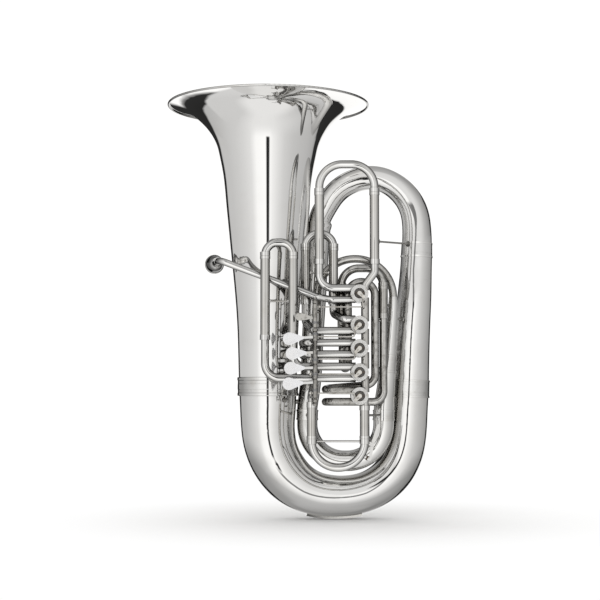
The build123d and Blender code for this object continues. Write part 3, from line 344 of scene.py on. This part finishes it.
# Darker plate of painted shade for the inner tubes among the valves
middle = metal("silver_plate_inner_tube", base=(0.74, 0.73, 0.705), tarnish=(0.42, 0.405, 0.38),
               roughness=(0.02, 0.07), scratch=0.004, dent=0.03, patch=70.0,
               rim=0.82, occlusion=1.0, streak=0.35)
# Dark plate of painted shade for the lever hubs, axle and frame
hub = metal("hub_painted_shade", base=(0.42, 0.41, 0.39), tarnish=(0.16, 0.155, 0.15),
            roughness=(0.06, 0.20), scratch=0.010, patch=160.0,
            rim=0.6, occlusion=1.0, reach=0.02)

# Finish of each material slot in the record, and of the parts that depart from it
SLOT_FINISH = {"silver_body": silver, "silver_tube": tubing, "satin_silver": satin,
               "nickel": nickel, "bare_brass": brass, "steel": steel, "cork": cork}
PART_FINISH = {part: finish for finish, parts in (
    (spun, "bell"),
    (bow, "bottom_bow"),
    (branch, "right_branch top_bow"),
    (inner, "left_branch inner_branch inner_bottom_bow"),
    (mouth, "mouthpiece"),
    (middle, "inner_arch fourth_slide valve_knuckles"),
    (hub, "lever_axle lever_frame"),
    (shaded, "thumb_lever"),
    (ring, "front_rings back_caps"),
    (ferrule, "bell_ferrule bottom_bow_guard bell_rim_wire strap_rings stays"),
) for part in parts.split()}


def paint(part, finishes, pick=lambda centre, normal: 0):
    """Gives a part its finishes; pick(centre, normal) is the slot of each face."""
    part.data.materials.clear()
    for finish in finishes:
        part.data.materials.append(finish)
    for face in part.data.polygons:
        face.material_index = pick(face.center, face.normal)
        face.use_smooth = True


def paint_casings(part, front):
    """Painted shade in the recesses: the frontmost faces, and those just behind that face
    forward.
    """
    def pick(centre, normal):
        foremost = centre.y < front + 0.0006
        return int(foremost or abs(centre.y - front) < 0.0045 and normal.y < -0.9)
    paint(part, [tubing, recess], pick)


def paint_lever(part, right):
    """Satin lever, plated toward its right end, with a hub darkened by painted shade at that end.
    """
    satin_end = right - 0.030
    hub_start = right - 0.013
    paint(part, [satin, tubing, hub],
          lambda centre, normal: 0 if centre.x < satin_end else 2 if centre.x > hub_start else 1)


record_slots = {entry["node"]: entry["material_slot"] for entry in frame["record"]["subparts"]}
for name, part in frame["nodes"].items():
    if name == "valve_casings":
        paint_casings(part, front=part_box(name)[0].y)
    elif name == "fourth_valve_branch":
        # The lower left part lies in shade, painted into it as the darker shaded plate
        paint(part, [middle, shaded],
              lambda centre, normal: int(centre.x < 0.112 and centre.z < 0.31))
    elif name == "branch_ferrules":
        # The upper faces match the branch, with its painted reflection line
        paint(part, [ferrule, branch], lambda centre, normal: int(centre.z > 0.52))
    elif name.endswith("_lever") and name != "thumb_lever":
        paint_lever(part, right=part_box(name)[1].x)
    else:
        slot = record_slots.get(name, "silver_tube")
        paint(part, [PART_FINISH.get(name) or SLOT_FINISH[slot]])


# ------------------------------------------------------------------ stage
def add_plane(name, material, **placing):
    bpy.ops.mesh.primitive_plane_add(**placing)
    plane = bpy.context.object
    plane.name = name
    plane.data.materials.append(material)
    return plane


def floor_material():
    """Matt white that turns into a plain glow away from the instrument."""
    material, net, shader = new_material("studio_floor")
    colour = net.ramp(net.noise(net.coords(), scale=3.0), [(0.3, 0.95), (0.7, 0.97)])
    net.feed(shader, {"Base Color": colour, "Roughness": 0.9, "Specular IOR Level": 0.1})
    place = net.add("NewGeometry").outputs["Position"]
    far = net.step(net.vector("DISTANCE", place, (0.08, 0.0, 0.0)), 0.15, 0.75)
    glow = net.add("Emission", {"Strength": 1.02}).outputs[0]
    blended = net.add("MixShader", {0: far, 1: shader.outputs[0], 2: glow}).outputs[0]
    net.feed(net.output, {0: blended})
    return material


def flag_material():
    """Matt black that fades out toward both sides and the bottom of the flag."""
    material, net, shader = new_material("black_flag")
    colour = net.ramp(net.noise(net.coords(), scale=40.0), [(0.3, 0.01), (0.7, 0.02)])
    x, y, _ = net.split(net.coords())
    alpha = net.product(net.step(net.calc("ABSOLUTE", x), 0.5, 0.16), net.step(y, -0.5, -0.34))
    net.feed(shader, {"Base Color": colour, "Roughness": 1.0, "Specular IOR Level": 0.0,
                      "Alpha": alpha})
    return material


floor = add_plane("floor", floor_material(), size=14, location=(0.0, 3.0, -0.0006))
floor.visible_glossy = False

# Upright black flag in front: its reflection is a dark line along every large tube
flag = add_plane("studio_flag", flag_material(), size=1, location=(-0.067, -2.30, 0.20),
                 rotation=(math.radians(90), 0, 0))
flag.scale = (0.46, 1.30, 1.0)
flag.visible_camera = False
flag.visible_diffuse = False
flag.visible_shadow = False

# ------------------------------------------------------------------ world
# Brightness of the reflected room in bands of elevation. Each stop is (azimuth, level), in
# degrees: 0 toward the camera, positive to the right, +-180 behind the instrument.
FRONT_ARC = [(-110, 0.54), (-80, 0.60), (-60, 0.66), (-42, 0.74), (-28, 0.95), (-8, 1.0),
             (4, 0.98), (12, 0.86), (25, 0.74), (40, 0.62), (60, 0.54), (80, 0.50),
             (100, 0.47), (120, 0.42)]
LOW = [(-180, 1.05), (-175, 1.0), (-173.5, 0.025), (-144, 0.02), (-141, 0.46), (-135, 0.53),
       *FRONT_ARC,
       (128, 0.34), (130, 0.025), (152, 0.02), (154, 0.85), (165, 1.0), (180, 1.05)]
HIGH = [(-180, 0.60), (-172, 0.40), (-169, 0.03), (-127, 0.025), (-123, 0.30), (-100, 0.36),
        (-80, 0.48), (-60, 0.62), (-40, 0.76), (-15, 0.72), (15, 0.72), (30, 0.68), (60, 0.50),
        (90, 0.42), (119, 0.34), (122, 0.03), (154, 0.03), (158, 0.35), (180, 0.60)]
UPPER = [(-180, 0.45), (-120, 0.42), (-60, 0.55), (-20, 0.70), (20, 0.70), (60, 0.52),
         (120, 0.38), (180, 0.45)]
BELOW = [(-180, 1.05), (-167, 1.0), (-165.5, 0.025), (-143, 0.02), (-140, 0.46),
         *FRONT_ARC,
         (126, 0.34), (128, 0.025), (159, 0.02), (161, 0.95), (180, 1.05)]
LOWEST = [(-180, 0.66), (-150, 0.60), (-80, 0.60), (-40, 0.76), (-15, 0.78), (15, 0.76),
          (40, 0.68), (80, 0.58), (120, 0.46), (180, 0.66)]
FRONT_MASK = [(-180, 1.0), (-118, 1.0), (-100, 0.0), (100, 0.0), (118, 1.0), (180, 1.0)]
DEGREES = 57.29578                    # degrees in a radian
TENT_COLOUR = (1.0, 0.995, 0.985)


def build_world():
    """White tent for the camera and diffuse light; the banded room for all other rays."""
    world = bpy.data.worlds.new("tent")
    bpy.context.scene.world = world
    world.use_nodes = True
    net = Net(world.node_tree)

    x, y, z = net.split(net.coords("Generated"))
    azimuth = net.product(net.calc("ARCTAN2", x, net.product(y, -1.0)), DEGREES)
    up = net.product(net.calc("ARCSINE", z), DEGREES)
    down = net.product(up, -1.0)
    around = net.calc("DIVIDE", net.calc("ADD", azimuth, 180.0), 360.0)

    def band(stops):
        return net.ramp(around, [((angle + 180.0) / 360.0, level) for angle, level in stops])

    room = net.mix(net.step(up, 7.0, 11.0), band(LOW), band(HIGH))
    room = net.mix(net.step(up, 28.0, 31.0), room, band(UPPER))
    room = net.mix(net.step(up, 52.0, 68.0), room, 0.48)
    room = net.mix(net.step(down, 9.0, 14.0), room, band(BELOW))
    # The change to the lowest band is gradual in front and sharp behind
    change = net.mix(band(FRONT_MASK), net.step(down, 24.0, 56.0), net.step(down, 36.0, 40.0))
    room = net.mix(change, room, band(LOWEST))
    room = net.mix(net.step(down, 62.0, 76.0), room, 0.78)

    rays = net.add("LightPath").outputs
    plain = net.calc("MAXIMUM", rays["Is Camera Ray"], rays["Is Diffuse Ray"])
    level = net.mix(plain, room, 1.0)
    channels = [net.product(level, share) for share in TENT_COLOUR]
    colour = net.add("CombineColor", enumerate(channels)).outputs[0]
    background = net.add("Background", {"Color": colour, "Strength": 1.06})
    net.add("OutputWorld", {0: background.outputs[0]})


def add_camera():
    lens = bpy.data.cameras.new("cam")
    camera = bpy.data.objects.new("cam", lens)
    bpy.context.scene.collection.objects.link(camera)
    camera.location = (-0.00057, -3.2032, 0.28011)
    camera.rotation_euler = (math.radians(90 + 3.721), 0, 0)      # level, then tilted up
    lens.sensor_width = 36.0
    lens.lens = 85.62
    bpy.context.scene.camera = camera


build_world()
add_camera()
bpy.context.scene.view_settings.view_transform = "Standard"
